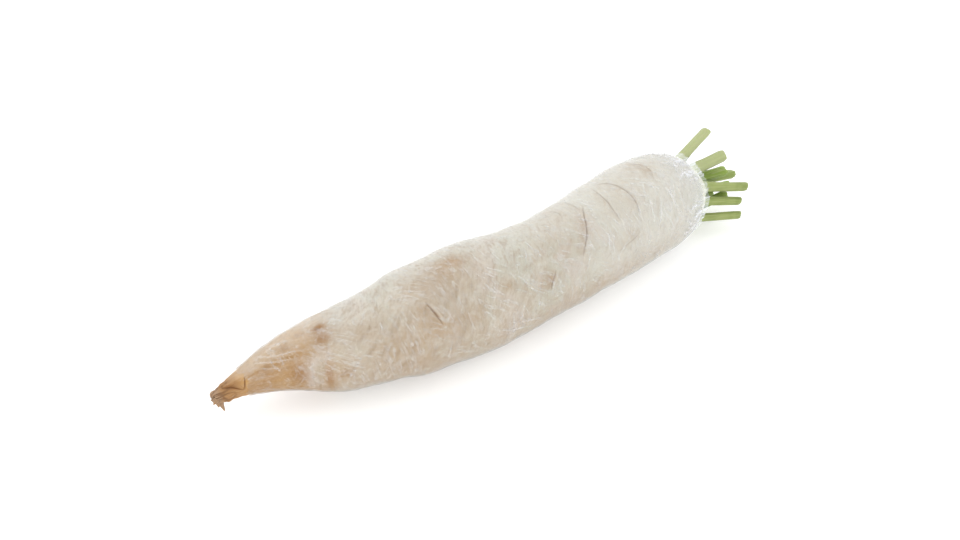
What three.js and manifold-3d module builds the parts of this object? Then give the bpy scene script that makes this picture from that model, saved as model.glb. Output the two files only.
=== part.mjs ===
// A daikon radish with its leaves cut short, in the clear stretch film that it is sold in.
// It lies on its side: the root runs along X from its snapped tip (-X) to its crown (+X), +Z is up,
// and the origin is under the middle of the whole thing, on the surface that it rests on.
// The root is one solid. The film is a thin sleeve round it, open at both ends, and each cut
// leaf stalk stands in its own shallow socket in the crown. All lengths are millimetres.
import * as THREE from "three";
import { mergeVertices } from "three/addons/utils/BufferGeometryUtils.js";
import Module from "manifold-3d";

const wasm = await Module();
wasm.setup();

const RAD = Math.PI / 180;
const UP = new THREE.Vector3(0, 0, 1);
const LENGTHWISE = new THREE.Vector3(1, 0, 0);

// ---- Driving dimensions -------------------------------------------------------------------

const ROOT_LENGTH = 338; // along the root's own bent axis, tip to crown
const SHOULDER = 290; // distance from the tip beyond which the outline only turns in to the crown

// The root's outline: distance from the tip, then radius. It swells quickly from the snapped tip,
// is thickest at the belly, has a slight waist and ends in a blunt shoulder.
const OUTLINE = [
  [0, 0],
  [0.8, 3.2],
  [6, 4.7],
  [14, 6.6],
  [22, 8.6],
  [36, 12.8],
  [56, 18.8],
  [78, 24.0],
  [104, 27.6],
  [122, 31.4],
  [140, 31.7],
  [162, 33.0],
  [182, 31.5],
  [205, 29.9],
  [232, 29.9],
  [258, 30.4],
  [284, 31.0],
  [300, 30.6],
  [314, 28.0],
  [325, 23.6],
  [332, 17.5],
  [336, 9.5],
  [ROOT_LENGTH, 0],
];

// The root's axis, as points along X, Y (sideways) and Z (height over the surface).
const AXIS = [
  [-180, 1, 19.5],
  [-150, -0.5, 24.5],
  [-124, -5.5, 28.5],
  [-96, -14, 30.8],
  [-62, -17, 32.4],
  [-28, -17.4, 32.6],
  [4, -18.4, 32.4],
  [58, -13, 31],
  [112, -3.5, 31.4],
  [158, -1.5, 32.4],
];

// Broad, low swellings of the root: distance from the tip, turn round it in degrees (0 is +Y,
// 90 is up), rise, and half-length.
const SWELLINGS = [
  [66, 250, 1.2, 16],
  [112, 120, 1.4, 24],
  [150, 285, 1.2, 20],
  [196, 80, -1.3, 22],
  [236, 250, -0.9, 20],
  [290, 110, 1.1, 24],
  [180, 10, 1.0, 30],
];
const SWELLING_WIDTH = 50 * RAD; // half-width of each, as a turn round the root

const RING_DEPTH = 0.35; // faint rings round the root
const RING_SPACING = 17;
const RING_WANDER = 2.5;

// The stretch film: a clear sleeve, much thicker here than real film so that it is a sound solid.
const FILM_GAP = 0.55;
const FILM_THICKNESS = 0.5;
const FILM_START = 20; // distance from the tip to its edge there
const FILM_END_RADIUS = 25; // radius of the hole that it leaves round the stalks
const FILM_EDGE_WAVE = 1.6;
const FILM_REACH = 9; // how much nearer to the stalks the film comes on its upper, front side
const FILM_REACH_TURNS = [50, 95, 172, 218]; // the turns where that begins, is full, ends and is gone
const PLEATS = 8; // soft folds where the film is gathered in at the crown
const PLEAT_HEIGHT = 0.8;
const PLEAT_START = 288; // distances from the tip where they begin and reach their height
const PLEAT_FULL = 316;

// The cut leaf stalks: where each stands on the crown (sideways and up from its middle), how far
// it leans and which way (0 is +Y, 90 is up), the length that stands clear, and its width.
const STALKS = [
  { side: 11.6, up: 11.2, lean: 18.7, toward: 39, length: 30.5, width: 8.4 },
  { side: 1.6, up: 9.8, lean: 15, toward: 313, length: 31.5, width: 7.4 },
  { side: 3.6, up: -0.4, lean: 17, toward: 292, length: 32, width: 6.8 },
  { side: 13.8, up: -7.8, lean: 13.5, toward: 250, length: 46, width: 7.4 },
  { side: -9, up: 3.7, lean: 22, toward: 226, length: 31, width: 7.4 },
  { side: -10.8, up: -5.7, lean: 22, toward: 233, length: 27, width: 7.4 },
  { side: -10.8, up: -17, lean: 22.5, toward: 200, length: 30, width: 5.8 },
  { side: -3, up: -17.2, lean: 4, toward: 153, length: 28, width: 5.6 },
  { side: 5.5, up: -18, lean: 6, toward: 280, length: 26, width: 6 },
  { side: -1.6, up: -8, lean: 8, toward: 225, length: 24, width: 5 },
];
const STALK_THICKNESS = 0.82; // of its width
const STALK_FLARE = 1.22; // how much wider the foot is than the rest
const STALK_TAPER = 5; // how soon the foot's flare dies out
const STALK_CHANNEL = 0.3; // depth of the groove on the inner side, as a share of the radius
const STALK_CHANNEL_TURN = 35 * RAD; // its half-width, as a turn round the stalk
const STALK_CHANNEL_START = 0.1; // the shares of the length where it begins and is full
const STALK_CHANNEL_FULL = 0.5;
const STALK_SLANT = 0.35; // slope of the cut end
const SOCKET_DEPTH = 4.5;
const SOCKET_GAP = 0.42;

// Broken side roots at the tip: distance from the tip, turn, length and thickness, with the end
// bent by a shift along X.
const ROOTLETS = [
  { along: 4, turn: 258, length: 9.5, radius: 1.9, shift: 0.5 },
  { along: 2.5, turn: 240, length: 5.5, radius: 1.9, shift: -1.2 },
  { along: 2, turn: 190, length: 2.5, radius: 1.8, shift: -4.5 },
];

// Creases in the skin: points along each, as distance from the tip and turn, and how wide it gapes.
const CREASES = [
  { path: [[124, 124], [125, 139], [128, 154]], gape: 1.0 },
  { path: [[242, 70], [241, 98], [234, 122], [223, 146]], gape: 1.0 },
  { path: [[257, 96], [259, 112], [258, 130]], gape: 0.8 },
  { path: [[267, 76], [273, 104], [273, 130], [269, 146]], gape: 0.8 },
  { path: [[203, 142], [197, 166]], gape: 0.8 },
];

const CREASE_LIFT = 0.3; // how far over the skin the middle of each crease's cut runs
const CREASE_STOPS = 5;
const SLIVER = 0.05; // facets thinner than this, left by the cuts, are merged into their neighbours

const ROOT_STEPS = 80;
const FILM_STEPS = 48;
const SIDES = 32; // facets round the root and round the film
const STALK_STEPS = 5;
const STALK_SIDES = 12;

// ---- The root's skin ----------------------------------------------------------------------

const outline = new THREE.SplineCurve(OUTLINE.map(([along, radius]) => new THREE.Vector2(radius, along)));
const axis = new THREE.CatmullRomCurve3(AXIS.map((p) => new THREE.Vector3(...p)));

// The axis's place and directions at a distance from the tip: ahead towards the crown, side and up.
function frameAt(along) {
  const share = THREE.MathUtils.clamp(along / ROOT_LENGTH, 0, 1);
  const ahead = axis.getTangentAt(share);
  const side = new THREE.Vector3().crossVectors(UP, ahead).normalize();
  const up = new THREE.Vector3().crossVectors(ahead, side);
  const place = axis.getPointAt(share).addScaledVector(ahead, along - share * ROOT_LENGTH);
  return { place, ahead, side, up };
}

// The shortest turn from one angle to another, either way.
const turnBetween = (a, b) => Math.atan2(Math.sin(a - b), Math.cos(a - b));

// How far the broad swellings move the skin out.
function swelling(along, turn) {
  return SWELLINGS.reduce((sum, [middle, toward, rise, halfLength]) => {
    const far = (along - middle) / halfLength;
    const round = turnBetween(turn, toward * RAD) / SWELLING_WIDTH;
    return sum + rise * Math.exp(-far * far - round * round);
  }, 0);
}

// Faint, wandering rings. They only cut in, so they stay under the film.
function ringDent(along, turn) {
  const wander = RING_WANDER * Math.sin(2 * turn + along / 40);
  return -RING_DEPTH * (0.5 - 0.5 * Math.cos((2 * Math.PI * (along + wander)) / RING_SPACING));
}

// A point over the skin: an outline point (radius, distance from the tip) turned round the axis.
function skinPoint(radius, along, turn, dented) {
  const { place, side, up } = frameAt(along);
  const fade = THREE.MathUtils.smoothstep(radius, 0, 16);
  const relief = swelling(along, turn) + (dented ? ringDent(along, turn) : 0);
  const reach = radius + fade * relief;
  return place.addScaledVector(side, reach * Math.cos(turn)).addScaledVector(up, reach * Math.sin(turn));
}

// How far the film's soft folds stand off the crown.
function pleat(along, turn) {
  const grown = THREE.MathUtils.smoothstep(along, PLEAT_START, PLEAT_FULL);
  return PLEAT_HEIGHT * grown * (0.5 + 0.5 * Math.cos(PLEATS * turn));
}

// The outline point at a share of the outline's length, moved off the skin by a height.
function liftedOutline(share, height) {
  const point = outline.getPointAt(share);
  const tangent = outline.getTangentAt(share);
  return new THREE.Vector2(point.x + tangent.y * height, point.y - tangent.x * height);
}

// The share of the outline's length where a test first holds.
function outlineShare(test) {
  const STEPS = 2000;
  for (let k = 0; k <= STEPS; k++) if (test(outline.getPointAt(k / STEPS))) return k / STEPS;
  return 1;
}

// How far along the axis the crown's surface is, at a radius from its middle.
const crownHeight = (radius) => outline.getPointAt(outlineShare((p) => p.y > SHOULDER && p.x < radius)).y;

// ---- Solids -------------------------------------------------------------------------------

// A closed geometry as a manifold solid, with its shared vertices merged.
function solidOf(geometry) {
  geometry.deleteAttribute("normal");
  geometry.deleteAttribute("uv");
  const merged = mergeVertices(geometry, 1e-3);
  const corners = merged.index.array;
  const kept = [];
  for (let k = 0; k < corners.length; k += 3) {
    const [a, b, c] = corners.slice(k, k + 3);
    if (a !== b && b !== c && a !== c) kept.push(a, b, c);
  }
  const vertProperties = Float32Array.from(merged.attributes.position.array);
  return new wasm.Manifold(new wasm.Mesh({ numProp: 3, vertProperties, triVerts: Uint32Array.from(kept) }));
}

// A turned shape whose every point is then put in its place. The profile is a list of
// (radius, along) points, and place(radius, along, turn, row) says where each goes.
function turned(profile, sides, place) {
  const geometry = new THREE.LatheGeometry(profile, sides);
  const position = geometry.getAttribute("position");
  for (let k = 0; k < position.count; k++) {
    const row = k % profile.length;
    const turn = ((Math.floor(k / profile.length) % sides) * 2 * Math.PI) / sides;
    const { x, y, z } = place(profile[row].x, profile[row].y, turn, row);
    position.setXYZ(k, x, y, z);
  }
  return solidOf(geometry);
}

// A slim solid that follows a curve, with a radius given along it. It is pointed or flat at each end.
function tapered(curve, radiusAt, steps, sides) {
  const shares = Array.from({ length: steps + 1 }, (_, k) => k / steps);
  const body = shares.map((share) => new THREE.Vector2(radiusAt(share), share));
  const profile = [new THREE.Vector2(0, 0), ...body.filter((p) => p.x > 0), new THREE.Vector2(0, 1)];
  return turned(profile, sides, (radius, share, turn) => {
    const ahead = curve.getTangentAt(share);
    const across = new THREE.Vector3().crossVectors(LENGTHWISE, ahead).normalize();
    const over = new THREE.Vector3().crossVectors(ahead, across);
    return curve
      .getPointAt(share)
      .addScaledVector(across, radius * Math.cos(turn))
      .addScaledVector(over, radius * Math.sin(turn));
  });
}

// Nothing reaches lower than the floor given: what would is flattened onto it.
const flattened = (point, floor) => point.setZ(Math.max(point.z, floor));

function rootBody() {
  const profile = outline.getSpacedPoints(ROOT_STEPS);
  const floor = FILM_GAP + FILM_THICKNESS;
  return turned(profile, SIDES, (radius, along, turn) =>
    flattened(skinPoint(radius, along, turn, true), floor),
  );
}

// A broken side root: a short cone that starts inside the tip.
function rootlet({ along, turn, length, radius, shift }) {
  const { place, side, up } = frameAt(along);
  const out = side.clone().multiplyScalar(Math.cos(turn * RAD)).addScaledVector(up, Math.sin(turn * RAD));
  const foot = place.clone().addScaledVector(out, 2);
  const knee = foot.clone().addScaledVector(out, length * 0.6).add(new THREE.Vector3(shift * 0.3, 0, 0));
  const end = foot.clone().addScaledVector(out, length).add(new THREE.Vector3(shift, 0, 0));
  const curve = new THREE.CatmullRomCurve3([foot, knee, end]);
  return tapered(curve, (share) => radius * (1 - 0.75 * share), 4, 8);
}

// A spindle that lies in the skin along a path, to be cut away as a crease.
function creaseCutter({ path, gape }) {
  const route = new THREE.SplineCurve(path.map(([along, turn]) => new THREE.Vector2(along, turn)));
  const points = route.getPoints(CREASE_STOPS).map(({ x: along, y: turn }) => {
    const radius = outline.getPointAt(outlineShare((p) => p.y >= along)).x;
    return skinPoint(radius + CREASE_LIFT, along, turn * RAD, true);
  });
  const curve = new THREE.CatmullRomCurve3(points);
  return tapered(curve, (share) => gape * Math.sin(Math.PI * share), 2 * CREASE_STOPS, 4);
}

// A cut leaf stalk: wide and pale at its foot, grooved on its inner side, with a slanting cut.
function stalk({ side, up, lean, toward, length, width }, margin = 0) {
  const frame = frameAt(ROOT_LENGTH);
  const drop = crownHeight(Math.hypot(side, up)) - ROOT_LENGTH;
  const outward = frame.side.clone().multiplyScalar(Math.cos(toward * RAD));
  outward.addScaledVector(frame.up, Math.sin(toward * RAD));
  const ahead = frame.ahead.clone().multiplyScalar(Math.cos(lean * RAD));
  ahead.addScaledVector(outward, Math.sin(lean * RAD));
  const inward = outward.clone().addScaledVector(ahead, -outward.dot(ahead)).normalize().negate();
  const across = new THREE.Vector3().crossVectors(ahead, inward);
  const base = frame.place.clone().addScaledVector(frame.side, side).addScaledVector(frame.up, up);
  base.addScaledVector(frame.ahead, drop).addScaledVector(ahead, -SOCKET_DEPTH);
  const whole = length + SOCKET_DEPTH;
  const shares = Array.from({ length: STALK_STEPS + 1 }, (_, k) => k / STALK_STEPS);
  const rim = shares.map((share) => new THREE.Vector2(1, share));
  const profile = [new THREE.Vector2(0, 0), ...rim, new THREE.Vector2(0, 1)];
  return turned(profile, STALK_SIDES, (radius, share, turn) => {
    const flare = 1 + (STALK_FLARE - 1) * Math.exp(-share * STALK_TAPER);
    const facing = turnBetween(turn, 0) / STALK_CHANNEL_TURN;
    const grown = THREE.MathUtils.smoothstep(share, STALK_CHANNEL_START, STALK_CHANNEL_FULL);
    const channel = 1 - STALK_CHANNEL * Math.exp(-facing * facing) * grown;
    const half = (width / 2) * flare * radius + margin * radius;
    const inwards = half * STALK_THICKNESS * channel * Math.cos(turn);
    const slant = share === 1 ? STALK_SLANT * inwards : 0;
    const end = share === 0 ? -margin : share === 1 ? margin : 0;
    return base
      .clone()
      .addScaledVector(ahead, share * whole + slant + end)
      .addScaledVector(inward, inwards)
      .addScaledVector(across, half * Math.sin(turn));
  });
}

// The film: its outer face from the edge at the tip to the edge round the stalks, then its inner
// face back. Its edges wave a little, as film does where it was pulled tight and gathered.
function filmSleeve() {
  const start = outlineShare((p) => p.y >= FILM_START);
  const end = outlineShare((p) => p.y > SHOULDER && p.x <= FILM_END_RADIUS);
  const [begins, full, ends, gone] = FILM_REACH_TURNS.map((turn) => turn * RAD);
  const steps = Array.from({ length: FILM_STEPS + 1 }, (_, k) => k / FILM_STEPS);
  const outer = steps.map((step) => ({ step, height: FILM_GAP + FILM_THICKNESS }));
  const inner = steps.map((step) => ({ step, height: FILM_GAP })).reverse();
  const rows = [...outer, ...inner, outer[0]];
  const shareAt = (step, turn) => {
    const wave = FILM_EDGE_WAVE / outline.getLength();
    const first = start + wave * Math.sin(3 * turn + 1);
    const { smoothstep } = THREE.MathUtils;
    const nearer = smoothstep(turn, begins, full) - smoothstep(turn, ends, gone);
    const ripple = wave * (0.6 * Math.sin(5 * turn) + 0.4 * Math.sin(9 * turn + 2));
    const last = end + (FILM_REACH / outline.getLength()) * nearer - ripple;
    return THREE.MathUtils.lerp(first, last, step);
  };
  const profile = rows.map(({ step, height }) => liftedOutline(shareAt(step, 0), height));
  return turned(profile, SIDES, (_radius, _along, turn, row) => {
    const { step, height } = rows[row];
    const share = shareAt(step, turn);
    const lifted = liftedOutline(share, height + pleat(outline.getPointAt(share).y, turn));
    return flattened(skinPoint(lifted.x, lifted.y, turn, false), FILM_GAP + FILM_THICKNESS - height);
  });
}

// ---- The whole radish ---------------------------------------------------------------------

const skinWhite = new THREE.MeshStandardMaterial({ color: 0xe6dccb, roughness: 0.55, metalness: 0 });
const stalkGreen = new THREE.MeshStandardMaterial({ color: 0xa9bf6f, roughness: 0.5, metalness: 0 });
const clearFilm = new THREE.MeshStandardMaterial({
  color: 0xf2f4f7,
  roughness: 0.15,
  metalness: 0,
  transparent: true,
  opacity: 0.2,
});

function meshOf(name, solid, material) {
  const { numProp, vertProperties, triVerts, numVert } = solid.getMesh();
  const positions = new Float32Array(numVert * 3);
  for (let k = 0; k < numVert; k++) {
    const first = k * numProp;
    positions.set(vertProperties.subarray(first, first + 3), k * 3);
  }
  const geometry = new THREE.BufferGeometry();
  geometry.setAttribute("position", new THREE.BufferAttribute(positions, 3));
  geometry.setIndex(new THREE.BufferAttribute(triVerts, 1));
  geometry.computeVertexNormals();
  const mesh = new THREE.Mesh(geometry, material);
  mesh.name = name;
  return mesh;
}

const sockets = wasm.Manifold.union(STALKS.map((each) => stalk(each, SOCKET_GAP)));
const creases = wasm.Manifold.union(CREASES.map(creaseCutter));
const withRootlets = wasm.Manifold.union([rootBody(), ...ROOTLETS.map(rootlet)]);
const root = withRootlets.subtract(sockets).subtract(creases).simplify(SLIVER);

const daikon = new THREE.Group();
daikon.add(meshOf("root", root, skinWhite));
daikon.add(meshOf("film_wrap", filmSleeve(), clearFilm));
STALKS.forEach((each, k) => daikon.add(meshOf(`leaf_stalk_${k + 1}`, stalk(each), stalkGreen)));

// The origin is under the middle of the whole thing.
const middle = new THREE.Box3().setFromObject(daikon).getCenter(new THREE.Vector3());
daikon.position.set(-middle.x, -middle.y, 0);

export default daikon;
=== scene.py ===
# %% [markdown]
# # A daikon radish in its film
# A daikon is a long white winter radish. This one is sold with its leaves cut to short stalks and with clear
# stretch film pulled round the root. It lies on its side: the snapped tip points to -X and the crown with
# the stalks to +X. The CAD model is the fixed frame: it gives every place and size, and the looks are
# built over it here. Distances in this file are millimetres until a mesh is made, and metres after that.

# %% Load the frame
import math

import bpy
import numpy as np
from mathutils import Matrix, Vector


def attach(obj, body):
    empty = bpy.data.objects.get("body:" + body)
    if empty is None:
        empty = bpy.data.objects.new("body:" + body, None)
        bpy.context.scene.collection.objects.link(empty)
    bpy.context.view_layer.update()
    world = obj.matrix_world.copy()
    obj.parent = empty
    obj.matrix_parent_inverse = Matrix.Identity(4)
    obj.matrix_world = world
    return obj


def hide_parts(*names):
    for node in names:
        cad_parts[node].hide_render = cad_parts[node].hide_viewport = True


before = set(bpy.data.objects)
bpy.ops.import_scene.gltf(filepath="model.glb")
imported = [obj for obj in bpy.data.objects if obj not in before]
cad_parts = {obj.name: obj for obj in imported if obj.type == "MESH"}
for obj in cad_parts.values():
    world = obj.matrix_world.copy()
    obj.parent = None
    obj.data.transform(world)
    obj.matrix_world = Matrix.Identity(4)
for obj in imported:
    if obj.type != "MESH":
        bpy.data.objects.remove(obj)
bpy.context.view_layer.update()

print("CAD nodes:", sorted(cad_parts))

# %% [markdown]
# ## Camera
# The camera comes first, because it decides which details are worth making. It stands in front of the
# root and to the tip's side, and looks down at 40 degrees. A long lens from more than a metre away keeps
# the root's taper true, as in any studio picture of a vegetable.

# %% Camera
CAMERA_TURN = -33
CAMERA_RISE = 40
CAMERA_AWAY = 1.338
AIM = Vector((-0.01020, 0.00898, 0.03540))

turn, rise = math.radians(CAMERA_TURN), math.radians(CAMERA_RISE)
back = Vector((math.sin(turn) * math.cos(rise), -math.cos(turn) * math.cos(rise), math.sin(rise)))
lens = bpy.data.cameras.new("camera")
lens.lens, lens.sensor_width = 85, 36
lens.clip_start, lens.clip_end = 0.05, 50
camera = bpy.data.objects.new("camera", lens)
bpy.context.scene.collection.objects.link(camera)
camera.location = AIM + back * CAMERA_AWAY
camera.rotation_mode = "QUATERNION"
camera.rotation_quaternion = (-back).to_track_quat("-Z", "Y")
bpy.context.scene.camera = camera
print("camera at", [round(x, 3) for x in camera.location])

# %% [markdown]
# ## Light
# White food is lit softly, or its edges burn out. A white world fills in from all sides. One broad lamp
# over the table models the form, and another at the camera's side keeps the near flank from going grey. A
# small lamp low on the crown's side draws some glints on the film; the rest of the film's glints are painted
# highlights in its veil. The Standard view keeps white paper white.

# %% Light
def lamp(name, place, width, power, colour=(1, 1, 1)):
    """A square area lamp that looks at the middle of the radish."""
    data = bpy.data.lights.new(name, "AREA")
    data.size, data.energy, data.color = width, power, colour
    made = bpy.data.objects.new(name, data)
    bpy.context.scene.collection.objects.link(made)
    made.location = place
    made.rotation_euler = (Vector((0, 0, 0.03)) - made.location).to_track_quat("-Z", "Y").to_euler()
    return made


world = bpy.data.worlds.new("studio")
world.use_nodes = True
world.node_tree.nodes["Background"].inputs["Color"].default_value = (1.0, 1.0, 1.0, 1)
world.node_tree.nodes["Background"].inputs["Strength"].default_value = 1.2
bpy.context.scene.world = world
bpy.context.scene.view_settings.view_transform = "Standard"
lamp("overhead_lamp", (-0.15, 0.5, 1.45), 1.3, 4.2)
lamp("front_lamp", (-0.59, -0.91, 0.54), 1.0, 2.6)
lamp("crown_lamp", (0.9, -0.3, 0.55), 0.25, 0.5, (0.93, 0.96, 1.0))

# %% [markdown]
# ## Materials from nodes
# Every finish here is a small tree of nodes. These helpers add one node each and join it up, so that the
# recipes further down read like a list of layers, from the ground colour to the marks on top.

# %% Node helpers
def join(tree, socket, value):
    """Joins a socket to another node's output, or sets its constant."""
    if isinstance(value, bpy.types.NodeSocket):
        tree.links.new(value, socket)
    else:
        socket.default_value = value


def node(tree, kind, settings=(), **inputs):
    """Adds a node, with its settings and the inputs that are named."""
    made = tree.nodes.new(kind)
    for name, value in dict(settings).items():
        setattr(made, name, value)
    for name, value in inputs.items():
        join(tree, made.inputs[name.replace("_", " ")], value)
    return made


def maths(tree, operation, *values):
    """One step of arithmetic on numbers or sockets, kept between 0 and 1."""
    made = node(tree, "ShaderNodeMath", {"operation": operation, "use_clamp": True})
    for socket, value in zip(made.inputs, values):
        join(tree, socket, value)
    return made.outputs[0]


def layer(tree, share, under, over):
    """Paints one colour over another, by a share from 0 to 1."""
    made = node(tree, "ShaderNodeMix", {"data_type": "RGBA"})
    for index, value in zip((0, 6, 7), (share, under, over)):
        join(tree, made.inputs[index], value)
    return made.outputs[2]


def product(tree, *shares):
    """Shares from 0 to 1, multiplied."""
    total = shares[0]
    for share in shares[1:]:
        total = maths(tree, "MULTIPLY", total, share)
    return total


def coat(tree, under, over, *shares):
    """Paints a colour over another, by the product of one or more shares."""
    return layer(tree, product(tree, *shares), under, over)


print("node helpers: join, node, maths, layer, product and coat")

# %% [markdown]
# A finish is painted by where a point is. Each mesh stores its own coordinates and marks, noise breaks them
# up, and two small tools turn any number into a share of paint: a window, which is a soft step, and a
# ridge, which is a soft line.

# %% Pattern helpers
def stored(tree, name, output="Fac"):
    """A number or vector that the mesh carries at every point."""
    return node(tree, "ShaderNodeAttribute", {"attribute_name": name}).outputs[output]


def stretched(tree, vector, scale):
    """Coordinates scaled by a different amount on each axis."""
    made = node(tree, "ShaderNodeMapping", Vector=vector)
    made.inputs["Scale"].default_value = scale
    return made.outputs[0]


def noise(tree, vector, scale=1.0, detail=3.0, rough=0.5, warp=0.0):
    """Cloudy noise, mostly between 0.3 and 0.7."""
    made = node(tree, "ShaderNodeTexNoise", Vector=vector, Scale=scale, Detail=detail, Roughness=rough)
    made.inputs["Distortion"].default_value = warp
    return made.outputs["Fac"]


def slanted(tree, vector, degrees, lengths):
    """Coordinates turned by an angle, and then divided by the lengths of the pattern's marks."""
    made = node(tree, "ShaderNodeMapping", {"vector_type": "TEXTURE"}, Vector=vector)
    made.inputs["Rotation"].default_value = (0, 0, math.radians(degrees))
    made.inputs["Scale"].default_value = (*lengths, 1)
    return made.outputs[0]


def window(tree, value, low, high):
    """0 below low, 1 above high, and a soft slope between. With low above high it falls instead."""
    made = node(tree, "ShaderNodeMapRange", {"interpolation_type": "SMOOTHSTEP"}, Value=value)
    made.inputs["From Min"].default_value, made.inputs["From Max"].default_value = low, high
    return made.outputs[0]


def ridge(tree, value, middle, width):
    """1 where a value is at the middle, falling softly to 0 a width away on either side."""
    rise, fall = window(tree, value, middle - width, middle), window(tree, value, middle + width, middle)
    return product(tree, rise, fall)


def material_of(name):
    """A new material with an empty tree but for its output."""
    made = bpy.data.materials.new(name)
    made.use_nodes = True
    made.node_tree.nodes.clear()
    return made, made.node_tree, node(made.node_tree, "ShaderNodeOutputMaterial")


def set_inputs(shader, **constants):
    """Sets a shader's own constants, by the names of its inputs."""
    for name, value in constants.items():
        shader.inputs[name.replace("_", " ")].default_value = value


print("pattern helpers: stored, stretched, noise, slanted, window and ridge")

# %% [markdown]
# ## Table
# A plain pale floor catches a faint shadow, so that the root is seen to lie on something. It glows a
# little, as a light table for product pictures does, and this keeps the shadow faint.

# %% Table
TABLE_WIDTH = 8
TABLE_GREY = 0.82
TABLE_GLOW = 0.28

bpy.ops.mesh.primitive_plane_add(size=TABLE_WIDTH, location=(0, 0, 0))
table = bpy.context.object
table.name = "table"
paint, tree, out = material_of("pale_table")
surface = node(tree, "ShaderNodeBsdfPrincipled", Base_Color=(*[TABLE_GREY] * 3, 1), Roughness=1.0)
set_inputs(surface, Specular_IOR_Level=0, Emission_Color=(1, 1, 1, 1), Emission_Strength=TABLE_GLOW)
join(tree, out.inputs["Surface"], surface.outputs[0])
table.data.materials.append(paint)
print("the table is", tuple(round(x, 1) for x in table.dimensions), "m")

# %% [markdown]
# ## The root's form
# A root has no flat faces to start from. It is a bent line with a thickness that changes along it, so its
# form is made from a few stations of thickness, a few points of the bent line and a handful of broad
# swellings. These are the same stations that the CAD solid has, so the fine skin lies where the solid is.

# %% The root's stations
ROOT_LENGTH = 338
SHOULDER = 290
OUTLINE = [  # distance from the tip, radius
    (0, 0), (0.8, 3.2), (6, 4.7), (14, 6.6), (22, 8.6), (36, 12.8), (56, 18.8), (78, 24.0),
    (104, 27.6), (122, 31.4), (140, 31.7), (162, 33.0), (182, 31.5), (205, 29.9), (232, 29.9),
    (258, 30.4), (284, 31.0), (300, 30.6), (314, 28.0), (325, 23.6), (332, 17.5), (336, 9.5),
    (ROOT_LENGTH, 0),
]
BENT_LINE = [
    (-188.2, 12.4, 19.5), (-158.2, 10.9, 24.5), (-132.2, 5.9, 28.5), (-104.2, -2.6, 30.8),
    (-70.2, -5.6, 32.4), (-36.2, -6.0, 32.6), (-4.2, -7.0, 32.4), (49.8, -1.6, 31.0),
    (103.8, 7.9, 31.4), (149.8, 9.9, 32.4),
]
SWELLINGS = [  # distance from the tip, turn round the root in degrees, rise, half-length
    (66, 250, 1.2, 16), (112, 120, 1.4, 24), (150, 285, 1.2, 20), (196, 80, -1.3, 22),
    (236, 250, -0.9, 20), (290, 110, 1.1, 24), (180, 10, 1.0, 30),
]
SWELLING_WIDTH = math.radians(50)
print(len(OUTLINE), "stations,", len(BENT_LINE), "points of the bent line,", len(SWELLINGS), "swellings")

# %% [markdown]
# A few stations joined by straight lines would give a root with corners. A smooth curve through them gives
# the soft taper of a grown thing, and keeps every station where it was put.

# %% Smooth curves
def smooth_curve(points, even, dense=60):
    """A smooth curve through points. Even steps suit a profile; uneven ones suit a line in space."""
    points = np.array(points, float)
    before, after = points[0], points[-1]
    if not even:
        before, after = 2 * before - points[1], 2 * after - points[-2]
    run = np.vstack([before, points, after])
    t = np.linspace(0, 1, dense, endpoint=False)[:, None]
    pieces = []
    for a, b, c, d in zip(run, run[1:], run[2:], run[3:]):
        leave, arrive = (c - a) / 2, (d - b) / 2
        if not even:
            e, f, g = (math.sqrt(np.linalg.norm(v)) for v in (b - a, c - b, d - c))
            leave = f * ((b - a) / e - (c - a) / (e + f) + (c - b) / f)
            arrive = f * ((c - b) / f - (d - b) / (f + g) + (d - c) / g)
        pieces.append(
            (2 * t**3 - 3 * t**2 + 1) * b + (t**3 - 2 * t**2 + t) * leave
            + (3 * t**2 - 2 * t**3) * c + (t**3 - t**2) * arrive
        )
    return np.vstack([*pieces, points[-1:]])


def lengths(curve):
    """The distance along a curve to each of its points."""
    return np.concatenate([[0], np.cumsum(np.linalg.norm(np.diff(curve, axis=0), axis=1))])


def along_curve(curve, reached, distance):
    """Where a curve is at given distances along it."""
    return np.stack([np.interp(distance, reached, curve[:, k]) for k in range(curve.shape[1])], -1)


def slope_of(curve, reached, distance, step=0.3):
    """The direction in which a curve runs at given distances along it."""
    ahead = along_curve(curve, reached, distance + step) - along_curve(curve, reached, distance - step)
    return ahead / np.linalg.norm(ahead, axis=-1, keepdims=True)


bent = smooth_curve(BENT_LINE, even=False)
bent_reach = lengths(bent)
outline = smooth_curve([(radius, along) for along, radius in OUTLINE], even=True)
outline_reach = lengths(outline)
print("the bent line is", round(bent_reach[-1], 1), "mm long, the outline", round(outline_reach[-1], 1))

# %% [markdown]
# Every point of the skin has two addresses: how far it is from the tip, and how far it is turned round the
# root (0 is +Y, 90 is up). Marks are placed by these, as a painter would say "a hand's width from the tip,
# near the top". The functions below turn such an address into a point in space.

# %% From an address to a place
def soft_step(value, low, high):
    """0 below low, 1 above high, with a soft slope between."""
    share = np.clip((np.asarray(value, float) - low) / (high - low), 0, 1)
    return share * share * (3 - 2 * share)


def turn_between(a, b):
    """The shortest turn from one angle to another, either way."""
    return np.arctan2(np.sin(a - b), np.cos(a - b))


def frame_at(along):
    """The bent line's place at a distance from the tip, and the directions ahead, sideways and up."""
    along = np.asarray(along, float)
    inside = np.clip(along, 0, ROOT_LENGTH)
    reach = inside / ROOT_LENGTH * bent_reach[-1]
    ahead = slope_of(bent, bent_reach, reach, step=0.4)
    side = np.cross(np.broadcast_to([0.0, 0.0, 1.0], ahead.shape), ahead)
    side /= np.linalg.norm(side, axis=-1, keepdims=True)
    place = along_curve(bent, bent_reach, reach) + ahead * (along - inside)[..., None]
    return place, ahead, side, np.cross(ahead, side)


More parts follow.
